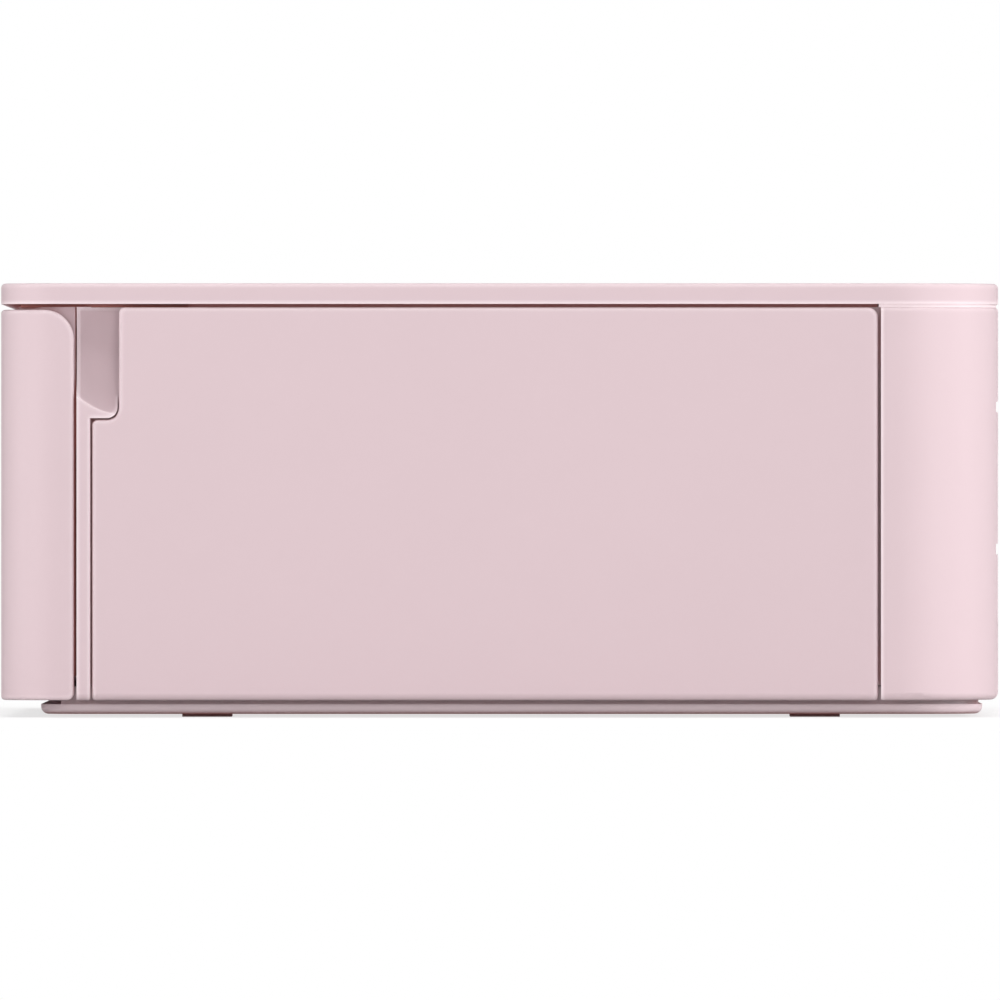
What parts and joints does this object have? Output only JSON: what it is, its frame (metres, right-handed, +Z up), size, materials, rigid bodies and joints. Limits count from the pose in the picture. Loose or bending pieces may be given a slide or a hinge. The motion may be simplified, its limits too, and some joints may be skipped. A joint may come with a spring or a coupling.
{
  "type": "compact photo printer",
  "caption": "Compact photo printer with a fold-down front cover, a side door to the ink bay, a display and keys in the lid, and a roller and gear drive inside.",
  "frame": {"origin": "middle of the printer's footprint, on the surface that its feet stand on", "axes": "+X towards the side with the ink door, -Y towards the front cover, +Z up"},
  "size_m": [0.1822, 0.133, 0.0578],
  "materials": {
    "white_plastic": "satin moulded",
    "grey_plastic": "fine textured",
    "dark_plastic": "fine textured",
    "gear_plastic": "satin",
    "key_plastic": "satin",
    "foot_rubber": "matte",
    "roller_rubber": "ground",
    "steel": "brushed",
    "sheet_steel": "zinc plated",
    "heat_sink_alloy": "extruded",
    "display_glass": "polished",
    "ceramic": "fired",
    "board_laminate": "solder resist",
    "ribbon_film": "film"
  },
  "bodies": {
    "housing": {"bottom_case": "grey_plastic", "rubber_feet": "foot_rubber", "main_shell": "white_plastic", "cover_hinge_pins": "steel", "front_frame": "grey_plastic", "top_lid": "white_plastic", "display_glass": "display_glass", "display_panel": "dark_plastic", "key_board": "board_laminate", "chassis_left_plate": "sheet_steel", "chassis_right_plate": "sheet_steel", "drive_motor": "steel", "motor_bracket": "sheet_steel", "ink_cassette_case": "dark_plastic", "main_board": "board_laminate", "card_slot": "steel", "data_port": "steel", "power_socket": "dark_plastic", "fan_frame": "dark_plastic", "case_screws": "steel"},
    "front_door": {"front_cover": "white_plastic"},
    "side_door": {"ink_door": "white_plastic", "door_hinge_pins": "steel"},
    "platen": {"platen_roller": "roller_rubber", "platen_gear": "gear_plastic"},
    "capstan": {"capstan_roller": "steel", "capstan_gear": "gear_plastic"},
    "idler": {"idler_gear": "gear_plastic"},
    "pinion": {"motor_pinion": "steel", "motor_shaft_pin": "steel"},
    "pinch": {"pinch_roller": "steel"},
    "pickup": {"pickup_roller": "roller_rubber"},
    "supply": {"supply_spool": "ribbon_film"},
    "takeup": {"takeup_spool": "ribbon_film"},
    "print_head": {"thermal_head": "ceramic", "heat_sink": "heat_sink_alloy", "head_bracket": "sheet_steel"},
    "fan": {"fan_wheel": "dark_plastic"},
    "power_button_key": {"power_button": "key_plastic"},
    "back_button_key": {"back_button": "key_plastic"},
    "menu_button_key": {"menu_button": "key_plastic"},
    "zoom_out_button_key": {"zoom_out_button": "key_plastic"},
    "print_button_key": {"print_button": "key_plastic"},
    "zoom_in_button_key": {"zoom_in_button": "key_plastic"},
    "ok_button_key": {"ok_button": "key_plastic"},
    "direction_ring_key": {"direction_ring": "key_plastic"}
  },
  "joints": [
    {"name": "front_cover_fold", "type": "hinge", "parent": "housing", "child": "front_door", "pos_m": [0, -0.0634, 0.0039], "axis": [1, 0, 0], "range_deg": [0, 90]},
    {"name": "ink_door_swing", "type": "hinge", "parent": "housing", "child": "side_door", "pos_m": [0.0894, 0.049, 0.028], "axis": [0, 0, 1], "range_deg": [0, 90]},
    {"name": "capstan_spin", "type": "hinge", "parent": "housing", "child": "capstan", "pos_m": [0, 0.05024, 0.019], "axis": [1, 0, 0], "continuous": true},
    {"name": "platen_spin", "type": "hinge", "parent": "housing", "child": "platen", "pos_m": [0, 0.018, 0.019], "axis": [1, 0, 0], "continuous": true},
    {"name": "idler_spin", "type": "hinge", "parent": "housing", "child": "idler", "pos_m": [-0.0628, 0.03332, 0.019], "axis": [1, 0, 0], "continuous": true},
    {"name": "pinion_spin", "type": "hinge", "parent": "housing", "child": "pinion", "pos_m": [-0.0628, 0.00588, 0.019], "axis": [1, 0, 0], "continuous": true},
    {"name": "pinch_spin", "type": "hinge", "parent": "housing", "child": "pinch", "pos_m": [0, 0.05024, 0.0273], "axis": [1, 0, 0], "continuous": true},
    {"name": "pickup_spin", "type": "hinge", "parent": "housing", "child": "pickup", "pos_m": [0, -0.036, 0.032], "axis": [1, 0, 0], "continuous": true},
    {"name": "supply_spin", "type": "hinge", "parent": "housing", "child": "supply", "pos_m": [0, 0.004, 0.037], "axis": [1, 0, 0], "continuous": true},
    {"name": "takeup_spin", "type": "hinge", "parent": "housing", "child": "takeup", "pos_m": [0, 0.037, 0.037], "axis": [1, 0, 0], "continuous": true},
    {"name": "fan_spin", "type": "hinge", "parent": "housing", "child": "fan", "pos_m": [0.0655, 0.06, 0.024], "axis": [0, 1, 0], "continuous": true},
    {"name": "head_lift", "type": "hinge", "parent": "housing", "child": "print_head", "pos_m": [0, 0.05, 0.04765], "axis": [-1, 0, 0], "range_deg": [0, 2]},
    {"name": "power_button_press", "type": "slide", "parent": "housing", "child": "power_button_key", "axis": [0, 0, -1], "range_m": [0, 0.0005], "stiffness_N_per_m": 400},
    {"name": "back_button_press", "type": "slide", "parent": "housing", "child": "back_button_key", "axis": [0, 0, -1], "range_m": [0, 0.0005], "stiffness_N_per_m": 400},
    {"name": "menu_button_press", "type": "slide", "parent": "housing", "child": "menu_button_key", "axis": [0, 0, -1], "range_m": [0, 0.0005], "stiffness_N_per_m": 400},
    {"name": "zoom_out_button_press", "type": "slide", "parent": "housing", "child": "zoom_out_button_key", "axis": [0, 0, -1], "range_m": [0, 0.0005], "stiffness_N_per_m": 400},
    {"name": "print_button_press", "type": "slide", "parent": "housing", "child": "print_button_key", "axis": [0, 0, -1], "range_m": [0, 0.0005], "stiffness_N_per_m": 400},
    {"name": "zoom_in_button_press", "type": "slide", "parent": "housing", "child": "zoom_in_button_key", "axis": [0, 0, -1], "range_m": [0, 0.0005], "stiffness_N_per_m": 400},
    {"name": "ok_button_press", "type": "slide", "parent": "housing", "child": "ok_button_key", "axis": [0, 0, -1], "range_m": [0, 0.0005], "stiffness_N_per_m": 400},
    {"name": "direction_ring_press", "type": "slide", "parent": "housing", "child": "direction_ring_key", "axis": [0, 0, -1], "range_m": [0, 0.0005], "stiffness_N_per_m": 400}
  ],
  "couplings": [
    {"joint": "platen_spin", "follows": "capstan_spin", "ratio": 1.2},
    {"joint": "idler_spin", "follows": "capstan_spin", "ratio": -1.3333},
    {"joint": "pinion_spin", "follows": "capstan_spin", "ratio": -2.4}
  ]
}
